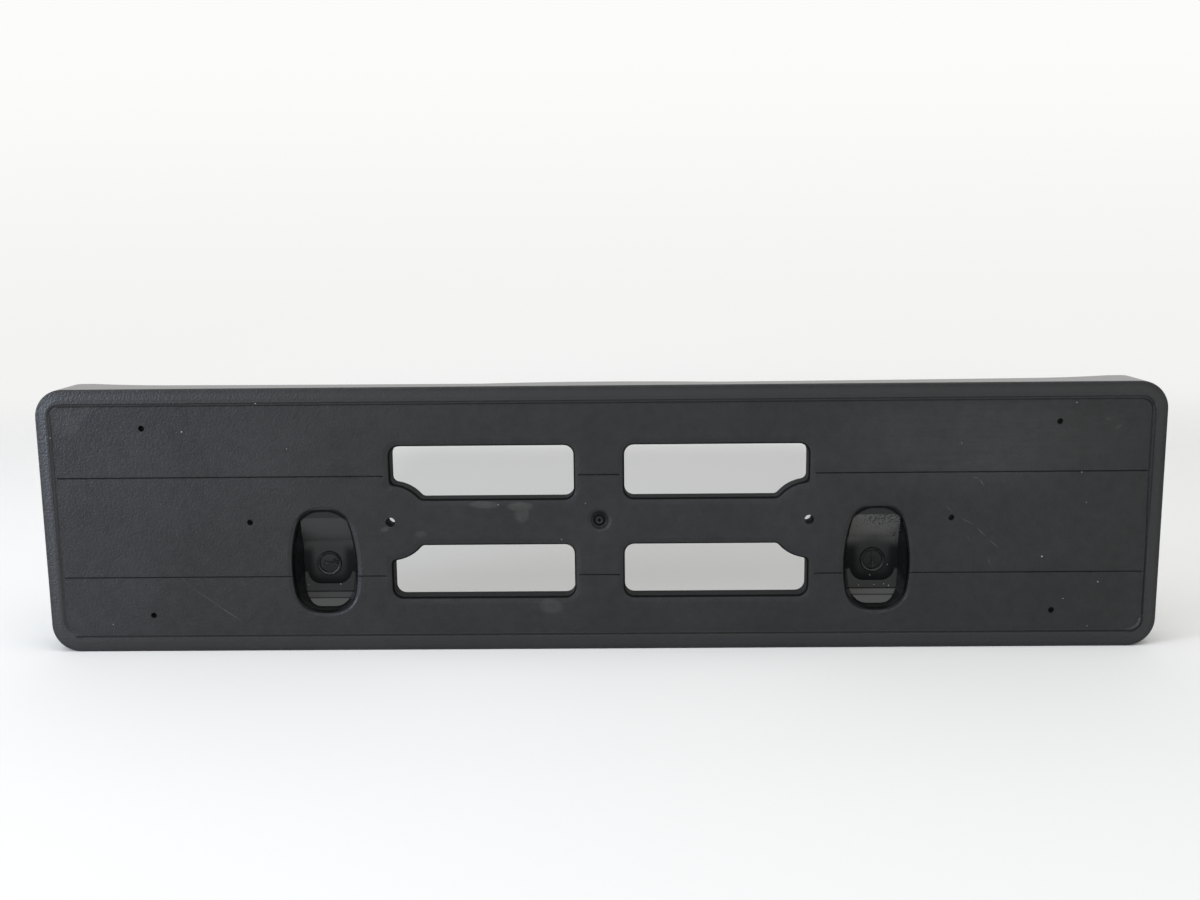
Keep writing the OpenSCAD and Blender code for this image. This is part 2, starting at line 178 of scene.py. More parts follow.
# Pale rubbed patches: middle x and z, half sizes, turn, strength
RUBS = (
    (-55.2, 8.4, 8.6, 2.2, -2, 0.45),
    (-37.9, 7.4, 7.2, 2.8, 0, 0.5),
    (-37.0, 3.6, 4.2, 4.8, 0, 0.4),
    (-23.9, -42.0, 7.0, 4.4, -8, 0.35),
    (-85.9, -5.8, 3.4, 2.0, 0, 0.3),
    (-103.3, -3.4, 2.4, 1.4, 20, 0.45),
    (-253.0, 50.0, 9.0, 8.0, 30, 0.16),
    (-247.0, 53.0, 12.0, 3.6, 33, 0.16),
    (245.0, 43.8, 2.2, 1.0, 30, 0.26),
    (239.8, 47.7, 1.8, 0.8, -40, 0.2),
)
# Grains of dust: x and z, radius, strength
DUST = (
    (-162.1, 58.2, 0.45, 0.7), (-198.3, 44.8, 0.45, 0.7), (-261.1, 42.4, 0.4, 0.5),
    (-237.8, -50.0, 0.38, 0.4), (-148.6, 36.2, 0.35, 0.3),
    (-48.4, 8.3, 0.35, 0.45), (-18.3, -8.9, 0.38, 0.45), (-6.6, 8.7, 0.35, 0.35),
    (211.9, -18.9, 0.5, 0.8), (239.2, -31.6, 0.42, 0.6), (223.0, -39.8, 0.36, 0.5),
    (235.2, -53.6, 0.36, 0.4), (228.8, 22.0, 0.36, 0.5), (231.7, 7.4, 0.35, 0.35),
    (224.8, 55.4, 0.38, 0.5), (171.6, 36.5, 0.35, 0.3),
)
# Specks on the floor of the pockets: x, y and z, radius
SPECKS = (
    (-145.6, -4.0, -24.6, 0.3), (-143.6, -3.0, -33.2, 0.34), (-127.8, -1.5, -33.0, 0.3),
    (132.0, -0.5, -30.4, 0.32), (141.0, -1.5, -35.4, 0.34), (138.6, -1.5, -34.6, 0.28),
    (126.4, -1.5, -35.2, 0.26), (133.9, -1.6, -35.0, 0.24), (140.4, -0.5, -25.2, 0.24),
)
# How far a scratch, patch or speck reaches in depth
BLOT_DEPTH = 3.0


def linear(code):
    """The linear red, green, blue and alpha of an sRGB hex colour."""
    values = np.array([int(code[i:i + 2], 16) for i in (1, 3, 5)]) / 255
    curved = ((values + 0.055) / 1.055) ** 2.4
    return (*np.where(values <= 0.04045, values / 12.92, curved).tolist(), 1.0)


def add(tree, kind, inputs=None, **settings):
    """Adds one node with its settings, and links or sets the named inputs."""
    made = tree.nodes.new(kind)
    for name, value in settings.items():
        setattr(made, name, value)
    for name, value in (inputs or {}).items():
        if isinstance(value, bpy.types.NodeSocket):
            tree.links.new(value, made.inputs[name])
        else:
            made.inputs[name].default_value = value
    return made


def new_material(name):
    """An empty material that uses nodes, and its tree."""
    material = bpy.data.materials.new(name)
    material.use_nodes = True
    material.node_tree.nodes.clear()
    return material, material.node_tree


def maths(tree, operation, *values, clamp=False):
    """One sum of a Math node."""
    made = add(tree, "ShaderNodeMath", dict(enumerate(values)), operation=operation, use_clamp=clamp)
    return made.outputs[0]


def vector(tree, operation, *values):
    """One sum of a Vector Math node."""
    return add(tree, "ShaderNodeVectorMath", dict(enumerate(values)), operation=operation).outputs[0]


def scaled(tree, first, factor):
    """A place or a colour times a number."""
    return add(tree, "ShaderNodeVectorMath", {0: first, "Scale": factor}, operation="SCALE").outputs[0]


def length(tree, first):
    """The length of a vector."""
    return add(tree, "ShaderNodeVectorMath", {0: first}, operation="LENGTH").outputs["Value"]


def parts(tree, first):
    """The three parts of a vector."""
    return add(tree, "ShaderNodeSeparateXYZ", {0: first}).outputs


def mixed(tree, factor, first, second):
    """A colour between two colours."""
    return add(tree, "ShaderNodeMix", {0: factor, 6: first, 7: second}, data_type="RGBA").outputs[2]


def between(tree, factor, first, second):
    """A number between two numbers."""
    return add(tree, "ShaderNodeMix", {0: factor, 2: first, 3: second}, data_type="FLOAT").outputs[0]


def noise(tree, place, width, detail):
    """Cloudy noise whose patches are about as wide as said, in millimetres."""
    return add(tree, "ShaderNodeTexNoise", {
        "Vector": place, "Scale": 1 / width, "Detail": detail, "Roughness": 0.6}).outputs[0]


def spread(tree, value, low, high):
    """Noise stretched between two numbers."""
    return add(tree, "ShaderNodeMapRange", {
        "Value": value, "From Min": 0.3, "From Max": 0.7, "To Min": low, "To Max": high}).outputs["Result"]


def fade(tree, value, start, end):
    """A smooth step that is 0 at start and 1 at end."""
    inputs = {"Value": value, "From Min": start, "From Max": end}
    return add(tree, "ShaderNodeMapRange", inputs, interpolation_type="SMOOTHSTEP").outputs["Result"]


def above(tree, value, level, soft):
    """A mask that is 1 above a level and 0 below it, and soft on both sides of it."""
    return fade(tree, value, level - soft, level + soft)


def below(tree, value, level, soft):
    """A mask that is 1 below a level and 0 above it, and soft on both sides of it."""
    return fade(tree, value, level + soft, level - soft)


def line(tree, value, middle, half):
    """A soft line that is 1 where a value is its middle and 0 beyond its half width."""
    off = maths(tree, "ABSOLUTE", maths(tree, "SUBTRACT", value, middle))
    return fade(tree, off, half, half * 0.35)


def rest(tree, mask):
    """A mask of everything that another mask leaves."""
    return maths(tree, "SUBTRACT", 1.0, mask)


def combined(tree, operation, values):
    """Several values taken together by one operation, from the first to the last."""
    total = values[0]
    for value in values[1:]:
        total = maths(tree, operation, total, value)
    return total


def product(tree, *values):
    """The product of several masks or numbers."""
    return combined(tree, "MULTIPLY", values)


def most(tree, *values):
    """The largest of several masks or numbers."""
    return combined(tree, "MAXIMUM", values)


def layered(tree, value, *layers):
    """A number under several layers: each is a mask, and the number that holds where the mask is 1."""
    for mask, cover in layers:
        value = between(tree, mask, value, cover)
    return value


def painted(tree, colour, *coats):
    """A colour under several coats: each is a mask and an sRGB hex colour."""
    for mask, code in coats:
        colour = mixed(tree, mask, colour, linear(code))
    return colour


def blot(tree, place, x, z, half_x, half_z, turn, edge, y=BED_Y):
    """An ellipse on a surface: 1 in its middle, 0 on its outline and beyond.

    The place is moved to the ellipse's middle, turned and divided by its half
    sizes, so that the length of the result is 1 on the outline. Edge is the
    length up to which the mask keeps its full strength.
    """
    moved = add(tree, "ShaderNodeMapping", {
        "Vector": place, "Location": (x, y, z), "Rotation": (0, math.radians(-turn), 0),
        "Scale": (half_x, BLOT_DEPTH, half_z)}, vector_type="TEXTURE").outputs[0]
    return fade(tree, length(tree, moved), 1.0, edge)


def blots(tree, place, marks, edge):
    """Several ellipses, each as strong as the last of its numbers."""
    return most(tree, *(product(tree, blot(tree, place, *mark[:-1], edge), mark[-1]) for mark in marks))


def millimetres(tree):
    """The place on an object, in millimetres."""
    return scaled(tree, add(tree, "ShaderNodeTexCoord").outputs["Object"], 1 / MM)


def mesh_object(name, points, faces):
    """A mesh object from arrays of points and faces, linked to the scene."""
    mesh = bpy.data.meshes.new(name)
    mesh.from_pydata(points.tolist(), [], faces.tolist())
    mesh.update()
    made = bpy.data.objects.new(name, mesh)
    bpy.context.scene.collection.objects.link(made)
    return made


def smooth(made):
    """Shades every face of a mesh object smoothly."""
    faces = made.data.polygons
    faces.foreach_set("use_smooth", np.ones(len(faces), dtype=bool))


def point_numbers(rows, columns):
    """The numbers of the points of a grid, row by row."""
    return np.arange(rows * columns).reshape(rows, columns)


def grid_faces(numbers):
    """Quads between neighbouring rows and columns of a grid of point numbers."""
    corners = (numbers[:-1, :-1], numbers[:-1, 1:], numbers[1:, 1:], numbers[1:, :-1])
    return np.stack(corners, axis=-1).reshape(-1, 4)


class HolderFinishSettings(bpy.types.PropertyGroup):
    """Colours and grain of the moulding."""
    plastic: bpy.props.StringProperty(
        name="Plastic", description="Colour of the moulding, as sRGB hex", default="#131415")
    pocket: bpy.props.StringProperty(
        name="Pocket", description="Colour of the polished pockets, as sRGB hex", default="#0e0f10")
    rubbed: bpy.props.StringProperty(
        name="Rubbed", description="Colour of scratches and rubbed patches, as sRGB hex", default="#6a6a64")
    dust: bpy.props.StringProperty(
        name="Dust", description="Colour of the dust, as sRGB hex", default="#b4b4ae")
    # The film in the pockets is partly dust and partly painted light on the ramps and the crease facets
    film: bpy.props.StringProperty(
        name="Film", description="Colour of the dusty film in the pockets, as sRGB hex", default="#3c3c3a")
    grain_mm: bpy.props.FloatProperty(
        name="Grain", description="Width of the moulded grain in millimetres", default=1.1, min=0.3, max=4)
    grain_depth_mm: bpy.props.FloatProperty(
        name="Grain depth", description="Depth of the moulded grain in millimetres", default=0.24,
        min=0, max=0.4)


class StudioSettings(bpy.types.PropertyGroup):
    """Floor, backdrop and light."""
    floor: bpy.props.StringProperty(
        name="Floor", description="Colour of the floor near the holder, as sRGB hex", default="#e1e1df")
    floor_reach: bpy.props.FloatProperty(
        name="Reach", description="Half width of the floor", default=2.2, min=0.5,
        subtype="DISTANCE", unit="LENGTH")
    wall_y: bpy.props.FloatProperty(
        name="Wall", description="Distance of the backdrop behind the holder", default=1.4, min=0.8,
        subtype="DISTANCE", unit="LENGTH")
    # Brightness of the shadow painted on the floor behind the holder
    shade: bpy.props.FloatProperty(
        name="Shade", description="Brightness of the floor's shade behind the holder", default=0.63,
        min=0, max=1)
    distant: bpy.props.StringProperty(
        name="Distance", description="Colour of the far floor and of the lower part of the room, as sRGB hex",
        default="#f3f3f2")
    high: bpy.props.StringProperty(
        name="High", description="Colour of the upper part of the room, as sRGB hex", default="#fcfcfb")
    overhead: bpy.props.FloatProperty(
        name="Overhead", description="Power of the softbox above", default=9.5, min=0, unit="POWER")
    side: bpy.props.FloatProperty(
        name="Side", description="Power of the softbox at the left", default=16.0, min=0, unit="POWER")
    sky: bpy.props.FloatProperty(
        name="Sky", description="Strength of the even light from all round", default=0.5, min=0)
    front_sky: bpy.props.FloatProperty(
        name="Front sky", description="Strength of the light from the room in front", default=1.1, min=0)


class PLATEHOLDER_OT_finish(bpy.types.Operator):
    """Gives the moulding its grained plastic, polished pockets, scratches and dust"""
    bl_idname = "plate_holder.finish"
    bl_label = "Finish the Holder"

    def execute(self, context):
        material = moulded_polypropylene(context.scene.holder_finish)
        for slot in bpy.data.objects[HOLDER].material_slots:
            slot.material = material
        return {"FINISHED"}


def flat(tree, place, z):
    """The place on the panel from a height on its middle line, without its depth."""
    return vector(tree, "MULTIPLY", vector(tree, "SUBTRACT", place, (0, 0, z)), (1, 0, 1))


def beside_pocket(tree, place):
    """The way along X from the middle of the nearer pocket, without its sign."""
    folded = vector(tree, "ABSOLUTE", vector(tree, "MULTIPLY", place, (1, 0, 0)))
    return vector(tree, "ABSOLUTE", vector(tree, "SUBTRACT", folded, (POCKET_X, 0, 0)))


def round_corner(tree, folded, centre, radius):
    """Distance outwards from the edge of a rectangle with round corners, folded onto one quarter.

    It is the length of what lies beyond the corner's centre along both axes,
    less the corner's radius.
    """
    beyond = vector(tree, "SUBTRACT", folded, centre)
    return maths(tree, "SUBTRACT", length(tree, vector(tree, "MAXIMUM", beyond, (0, 0, 0))), radius)


def window_distance(tree, place):
    """Distance outwards from a window's edge, in millimetres.

    The four windows are folded onto one. Its distance is that of a rectangle
    with round corners, cut back by the circle of its notch, with soft corners there.
    """
    folded = vector(tree, "ABSOLUTE", flat(tree, place, WINDOW_Z))
    middle = ((WINDOW_NEAR + WINDOW_FAR) / 2, 0, (WINDOW_LOW + WINDOW_HIGH) / 2)
    centre = ((WINDOW_FAR - WINDOW_NEAR) / 2 - WINDOW_R, 0, (WINDOW_HIGH - WINDOW_LOW) / 2 - WINDOW_R)
    from_middle = vector(tree, "ABSOLUTE", vector(tree, "SUBTRACT", folded, middle))
    outline = round_corner(tree, from_middle, centre, WINDOW_R)
    from_tower = length(tree, vector(tree, "SUBTRACT", folded, (TOWER_X, 0, 0)))
    return maths(tree, "SMOOTH_MAX", outline, maths(tree, "SUBTRACT", NOTCH_R, from_tower), NOTCH_SOFT)


def pocket_distance(tree, place):
    """Distance outwards from a pocket's edge, in millimetres.

    Both pockets are folded onto one half of one. Its long side is an arc, and
    round corners, smaller at the top, join the arc to the level ends.
    """
    level = vector(tree, "MULTIPLY", place, (0, 0, 1))
    from_arc_centre = vector(tree, "ADD", beside_pocket(tree, place), vector(
        tree, "SUBTRACT", level, (-POCKET_SIDE_X, 0, POCKET_WIDE_Z)))
    top = above(tree, parts(tree, place)["Z"], POCKET_MIDDLE_Z, 2)
    corner_r = between(tree, top, POCKET_FOOT_R, POCKET_TOP_R)
    side = maths(tree, "ADD", length(tree, from_arc_centre), maths(tree, "SUBTRACT", corner_r, POCKET_SIDE_R))
    ends = length(tree, vector(tree, "SUBTRACT", level, (0, 0, POCKET_MIDDLE_Z)))
    ends = maths(tree, "ADD", ends, maths(tree, "SUBTRACT", corner_r, POCKET_HALF_H))
    beyond = add(tree, "ShaderNodeCombineXYZ", {"X": most(tree, side, 0.0), "Y": most(tree, ends, 0.0)})
    return maths(tree, "SUBTRACT", length(tree, beyond.outputs[0]), corner_r)


def seat_distance(tree, place):
    """Distance outwards from the seat's edge, in millimetres.

    The seat is a rectangle with round lower corners that is open at the top.
    """
    downwards = vector(tree, "MULTIPLY", place, (0, 0, -1))
    folded = vector(tree, "ADD", beside_pocket(tree, place), downwards)
    centre = (SEAT_HALF_W - SEAT_CORNER_R, 0, -SEAT_LOW_Z - SEAT_CORNER_R)
    return round_corner(tree, folded, centre, SEAT_CORNER_R)


def bed_distance(tree, place):
    """Distance outwards from the edge of the plate's bed, in millimetres."""
    folded = vector(tree, "ABSOLUTE", flat(tree, place, MIDDLE_Z))
    return round_corner(tree, folded, (BED_HALF_X - BED_R, 0, BED_HALF_Z - BED_R), BED_R)


def holder_areas(tree):
    """Where a place is on the holder, and the masks of its areas, each 1 on its area and 0 beyond it.

    An area is told by its distance from the outlines, its depth and the way it faces.
    """
    at = SimpleNamespace(place=millimetres(tree))
    at.x, at.y, at.z = parts(tree, at.place)
    _, at.facing, rising = parts(tree, add(tree, "ShaderNodeNewGeometry").outputs["Normal"])
    at.from_window = window_distance(tree, at.place)
    at.from_pocket = pocket_distance(tree, at.place)
    at.from_bed = bed_distance(tree, at.place)
    at.from_gate = length(tree, flat(tree, at.place, GATE_Z))
    # Walls and edges that lie behind the bed, seen from the front, but not the shallow gate
    at.recess = product(
        tree, fade(tree, at.y, BED_Y + 0.05, BED_Y + 0.6), fade(tree, at.from_bed, 2.0, 0.0),
        fade(tree, at.facing, 0.6, 0.3), fade(tree, at.from_gate, GATE_EDGE_R, GATE_EDGE_R + 0.4))
    # The rim in front of the bed, and the skirt round the panel
    at.rim = fade(tree, at.y, BED_Y - 0.5, BED_Y - 0.8)
    at.skirt = product(tree, fade(tree, at.from_bed, 4.0, 6.0), fade(tree, at.y, LOW[1] + 0.6, LOW[1] + 1.4))
    # The step between bed and rim, and its underside
    at.step = line(tree, at.from_bed, STEP_MIDDLE, STEP_HALF_W)
    at.under = product(tree, at.step, fade(tree, rising, -0.2, -0.4))
    # The step's left end, and the holder's right half
    at.left_end = fade(tree, at.x, 7.0 - BED_HALF_X, 4.0 - BED_HALF_X)
    at.right = fade(tree, at.x, 0.0, 60.0)
    add_pocket_areas(tree, at)
    return at


def add_pocket_areas(tree, at):
    """The masks of the pockets: walls, shelf, ramp, bowl, ledge, and the facets under the crease."""
    at.pocket = product(
        tree, fade(tree, at.from_pocket, 0.4, -0.2), at.recess, fade(tree, at.y, BED_Y + 0.4, BED_Y + 1.0))
    at.wall = product(tree, at.pocket, fade(tree, at.facing, -0.7, -0.5))
    at.shelf = product(tree, at.pocket, above(tree, at.z, SHELF_Z, 0.2))
    # The ramp reaches down a little further at its sides
    aside = maths(tree, "ABSOLUTE", maths(tree, "SUBTRACT", maths(tree, "ABSOLUTE", at.x), POCKET_X))
    ramp_height = maths(tree, "MULTIPLY_ADD", aside, 0.28, at.z)
    at.ramp = product(
        tree, at.pocket, below(tree, at.z, SHELF_Z, 0.2),
        fade(tree, ramp_height, RAMP_END_Z - 1.5, RAMP_END_Z + 5.5))
    # The bowl is the foot of the ramp and the seat, where painted shade darkens it towards the seat's edge
    from_seat = seat_distance(tree, at.place)
    in_seat = most(tree, fade(tree, from_seat, 0.5, 0.0), above(tree, at.z, LEDGE_Z, 1.0))
    at.bowl = product(tree, at.pocket, fade(tree, at.z, RAMP_END_Z + 5, RAMP_END_Z - 6), in_seat)
    at.bowl_edge = product(
        tree, fade(tree, from_seat, -5.0, -0.8), fade(tree, at.z, RAMP_END_Z + 2, RAMP_END_Z - 6))
    at.ledge = product(tree, at.pocket, rest(tree, in_seat), above(tree, at.z, CREASE_Z, 0.3))
    at.facets = product(tree, at.pocket, below(tree, at.z, CREASE_Z, 0.3))
    at.crease_facet = product(tree, at.facets, fade(tree, at.z, FACET_Z + 0.1, FACET_Z + 0.5))


def mould_textures(tree, place, settings):
    """Patterns of the moulding: grain as fine as the tool's grits, clouds as wide as a flow front."""
    return SimpleNamespace(
        grain=noise(tree, place, settings.grain_mm, 2.0),
        mottle=noise(tree, place, 5.0, 2.0),
        cloud=noise(tree, place, 60.0, 3.0),
        # Streaks along the panel
        streaks=noise(tree, vector(tree, "MULTIPLY", place, (0.03, 1.0, 1.0)), 0.9, 1.0),
        # Distance from the nearest of many scattered points
        grits=add(tree, "ShaderNodeTexVoronoi", {
            "Vector": place, "Scale": 1 / GRIT_SPACING}).outputs["Distance"])


def painted_shade_lines(tree, at):
    """How much painted shade darkens each place, from 0 to 1: along narrow edges, in creases and in the gate.
    """
    # Painted shade along the narrow front edge of the windows and the pockets
    edges = most(tree, line(tree, at.from_window, 0.0, 1.0), line(tree, at.from_pocket, 0.0, 0.9))
    edges = product(tree, edges, fade(tree, at.y, BED_Y + 3.0, BED_Y + 1.5), 0.72)
    # Painted shade in the creases on both sides of the bed's step, the outer one only in the upper half,
    # fainter at the left
    upper = above(tree, at.z, 0.0, 15.0)
    crease_in = line(tree, maths(tree, "SUBTRACT", at.from_bed, between(tree, upper, -0.8, -1.35)), 0.0, 0.5)
    crease_out = product(tree, upper, line(tree, at.from_bed, -0.1, 0.45))
    creases = product(tree, most(tree, crease_in, crease_out), between(tree, at.left_end, 0.45, 0.2))
    # Painted shade in the pit of the gate and on a ring round it, and under its upper edge
    pit = fade(tree, at.from_gate, GATE_PIT_R, 0.7 * GATE_PIT_R)
    gate = product(tree, most(tree, pit, line(tree, at.from_gate, GATE_DARK_R, 0.85)), 0.75)
    gate_shade = product(
        tree, line(tree, at.from_gate, GATE_SHADE_R, 1.0), fade(tree, at.z, GATE_Z + 1.0, GATE_Z + 4.0), 0.45)
    return most(tree, edges, creases, gate, gate_shade)


def wear_masks(tree, at, texture):
    """Masks of the wear: scratches, rubbed patches, the scuffed part of the panel, and dust."""
    grains = blots(tree, at.place, [(x, z, r, r, 0, strength) for x, z, r, strength in DUST], 0.3)
    specks = most(tree, *(blot(tree, at.place, x, z, r, r, 0, 0.3, y) for x, y, z, r in SPECKS))
    return SimpleNamespace(
        scratches=blots(tree, at.place, SCRATCHES, 0.0),
        rubs=product(tree, blots(tree, at.place, RUBS, 0.55), spread(tree, texture.mottle, 0.7, 1.1)),
        scuffed=blot(tree, at.place, *SCUFFED, 0.3),
        dust=most(tree, grains, product(tree, specks, 0.6)))


def pocket_film_and_painted_light(tree, at, texture):
    """A pale film on the ramps and the crease facets, partly dust and partly painted light, with bare black
    grits on the right ramp.

    A grit is where the distance from the nearest scattered point is below its
    radius. The grits crowd at the upper right and along the right side.
    """
    upper_right = product(
        tree, fade(tree, at.z, RAMP_END_Z + 5, SHELF_Z - 1), fade(tree, at.x, POCKET_X - 12, POCKET_X - 1))
    right_side = product(tree, fade(tree, at.x, POCKET_X + 6, POCKET_X + 12), 0.6)
    grit_r = between(tree, most(tree, upper_right, right_side), GRIT_FEW_R, GRIT_CROWDED_R)
    grit_r = product(tree, grit_r, spread(tree, texture.mottle, 0.7, 1.2))
    bare = product(tree, at.right, fade(tree, maths(tree, "SUBTRACT", texture.grits, grit_r), 0.04, -0.04))
    film = product(tree, at.ramp, between(tree, at.right, 0.25, 1.0), rest(tree, bare))
    film = most(tree, film, product(tree, at.crease_facet, between(tree, at.right, 0.3, 0.8)))
    return product(tree, film, rest(tree, at.wall))


def moulding_colour(tree, at, texture, wear, dark, settings):
    """Clouded black plastic and plain black pockets, with a film of dust and painted light, lines of painted
    shade, painted light on the step, rubbed places and dust.
    """
    clouds = product(tree, spread(tree, texture.cloud, 0.8, 1.2), spread(tree, texture.mottle, 0.9, 1.1))
    plain = scaled(tree, linear(settings.plastic)[:3], clouds)
    # Painted light: the underside and the left end of the step are paler
    pale = most(tree, at.under, product(tree, at.step, at.left_end))
    plain = scaled(tree, plain, between(tree, pale, 1.0, 2.4))
    # Film of dust and painted light on the ramps and the crease facets
    film = pocket_film_and_painted_light(tree, at, texture)
    clean = painted(tree, plain, (at.pocket, settings.pocket), (film, settings.film))
    # Painted shade lines darken the colour under the wear and the dust
    return painted(
        tree, scaled(tree, clean, rest(tree, dark)),
        (product(tree, wear.rubs, 0.30), settings.rubbed),
        (product(tree, wear.scratches, 0.5), settings.rubbed),
        (wear.dust, settings.dust))


def moulding_roughness(tree, at, texture, wear):
    """Matt grain on the panel, smoother on the rim and the skirt, dull walls, polished pockets, dull wear."""
    rough = maths(
        tree, "ADD", spread(tree, texture.grain, 0.34, 0.56), spread(tree, texture.cloud, -0.03, 0.03))
    rough = layered(tree, rough, (at.rim, 0.40), (at.skirt, 0.24), (at.recess, 0.85), (at.pocket, 0.22))
    return maths(tree, "MULTIPLY_ADD", most(tree, wear.rubs, wear.dust), 0.3, rough, clamp=True)


def moulding_shine_and_painted_shade(tree, at, texture, wear, dark):
    """How much of its shine each place keeps, as a share: lower in the bowls, on the walls, the step, the
    shelf, the ledge, the facets and in recesses, as painted shade.
    """
    streaks = between(tree, wear.scuffed, 1.0, spread(tree, texture.streaks, 0.94, 1.06))
    panel = product(
        tree, between(tree, wear.scuffed, 0.80, 1.02), spread(tree, texture.cloud, 0.96, 1.04),
        spread(tree, texture.mottle, 0.95, 1.05), streaks)
    # Painted shade in the bowl: darker lower down and towards the seat's edge, and darker in the right pocket
    # than in the left
    low_in_bowl = fade(tree, at.z, RAMP_END_Z, SEAT_LOW_Z + 2)
    bowl = product(
        tree, between(tree, low_in_bowl, 0.75, 0.3), between(tree, at.bowl_edge, 1.0, 0.25),
        between(tree, at.right, 1.24, 0.8))
    # Painted shade as weaker reflection: on the step but its left end, in recesses, on the shelf, on the
    # ledge and the facets with darker lines at the crease and the facet, and on the walls of the right pocket
    shine = layered(
        tree, panel,
        (at.rim, 1.0),
        (at.skirt, 0.78),
        (product(tree, at.step, rest(tree, at.under)), between(tree, at.left_end, 0.45, 1.0)),
        (at.recess, 0.35),
        (at.pocket, 1.0),
        (at.shelf, 0.7),
        (at.bowl, bowl),
        (at.ledge, between(tree, line(tree, at.z, CREASE_Z + 0.4, 0.45), 0.65, 0.15)),
        (at.facets, between(tree, line(tree, at.z, FACET_Z, 0.4), 0.78, 0.3)),
        (at.wall, between(tree, at.right, 1.0, 0.4)))
    # Painted shade lines weaken the reflection too
    return product(tree, shine, rest(tree, dark))


def moulding_relief(tree, at, texture, wear, settings):
    """Height of the surface in millimetres: grain, scratches, and the rounding of lips and gate."""
    grain_depth = between(tree, wear.scuffed, settings.grain_depth_mm, settings.grain_depth_mm * 1.3)
    depth = between(tree, most(tree, at.pocket, at.skirt), grain_depth, 0.01)
    height = product(tree, texture.grain, depth)
    for mask, rise in (
            (wear.scratches, -0.08),
            (fade(tree, at.from_window, LIP_R - 0.4, LIP_R + 1.8), 0.30),
            (fade(tree, at.from_pocket, LIP_R - 0.3, LIP_R + 1.1), 0.28),
            (fade(tree, at.from_gate, GATE_EDGE_R - 0.2, GATE_EDGE_R + 1.5), 0.45)):
        height = maths(tree, "MULTIPLY_ADD", mask, rise, height)
    return height


def polypropylene(tree, colour, rough, shine, height):
    """The shader of polypropylene: shine tints its reflection, and height in millimetres is a bump."""
    tint = add(tree, "ShaderNodeCombineXYZ", {0: shine, 1: shine, 2: shine}).outputs[0]
    bump = add(tree, "ShaderNodeBump", {"Strength": 1.0, "Distance": MM, "Height": height}).outputs[0]
    shader = add(tree, "ShaderNodeBsdfPrincipled", {
        "Base Color": colour, "Roughness": rough, "Normal": bump, "IOR": POLYPROPYLENE_IOR,
        "Specular Tint": tint})
    add(tree, "ShaderNodeOutputMaterial", {"Surface": shader.outputs[0]})


def moulded_polypropylene(settings):
    """Black polypropylene, injection moulded.

    Spark-eroded tool faces give the panel a fine matt grain with faint flow
    clouds. Polished tool cores leave the pockets smooth and glossy. The walls
    of the windows and the holes are dull from the cut of the tool, and their
    weaker reflection is painted shade, as are the dark lines and the darker bowls.
    """
    material, tree = new_material("BlackPolypropyleneMoulded")
    at = holder_areas(tree)
    texture = mould_textures(tree, at.place, settings)
    wear = wear_masks(tree, at, texture)
    # Painted shade along narrow edges, in creases and in the gate, for both colour and reflection
    dark = painted_shade_lines(tree, at)
    polypropylene(
        tree,
        moulding_colour(tree, at, texture, wear, dark, settings),
        moulding_roughness(tree, at, texture, wear),
        moulding_shine_and_painted_shade(tree, at, texture, wear, dark),
        moulding_relief(tree, at, texture, wear, settings))
    return material


def worn_polypropylene_painted_highlight(settings):
    """Black polypropylene with worn edges, moulded.

    The raised marks are rubbed smooth in patches. A painted highlight keeps
    the full reflection on their lower side and about a third elsewhere, so
    that they catch the light in a narrow line.
    """
    material, tree = new_material("BlackPolypropyleneWornPaintedHighlight")
    place = millimetres(tree)
    x, _, z = parts(tree, place)
    # Painted highlight on the lower side of the marks: the rings of the gate lie in the middle, and those of
    # the seats beyond
    on_seat = fade(tree, maths(tree, "ABSOLUTE", x), 60.0, 70.0)
    low = between(
        tree, on_seat, fade(tree, z, GATE_Z + 3, GATE_Z - 3), fade(tree, z, SEAT_RING_Z + 3, SEAT_RING_Z - 5))
    patchy = noise(tree, place, 1.6, 2.0)
    # Painted highlight: full reflection on the lower side, about a third elsewhere, patchy throughout
    shine = product(tree, between(tree, low, 0.35, 1.0), spread(tree, patchy, 0.75, 1.05))
    rough = spread(tree, patchy, 0.14, 0.30)
    polypropylene(tree, linear(settings.pocket), rough, shine, product(tree, patchy, 0.3))
    return material


class PLATEHOLDER_OT_marks(bpy.types.Operator):
    """Adds the rounded rings and pointers of the mould's inserts and the rings of the gate"""
    bl_idname = "plate_holder.marks"
    bl_label = "Add the Mould Marks"

    def execute(self, context):
        material = worn_polypropylene_painted_highlight(context.scene.holder_finish)
        for name, x, turn in (("InsertMarkLeft", -POCKET_X, 12.0), ("InsertMarkRight", POCKET_X, 268.0)):
            ring = ring_bead(x, SEAT_Y, SEAT_RING_Z, MARK_R, *MARK_LINE)
            bead_object(name, [ring, *pointer(x, SEAT_RING_Z, turn)], material)
        bead_object("GateRings", [
            ring_bead(0, BED_Y, GATE_Z, GATE_INNER_R, *GATE_LINE),
            ring_bead(0, BED_Y + GATE_OUTER_DEPTH, GATE_Z, GATE_OUTER_R, *GATE_LINE)], material)
        return {"FINISHED"}


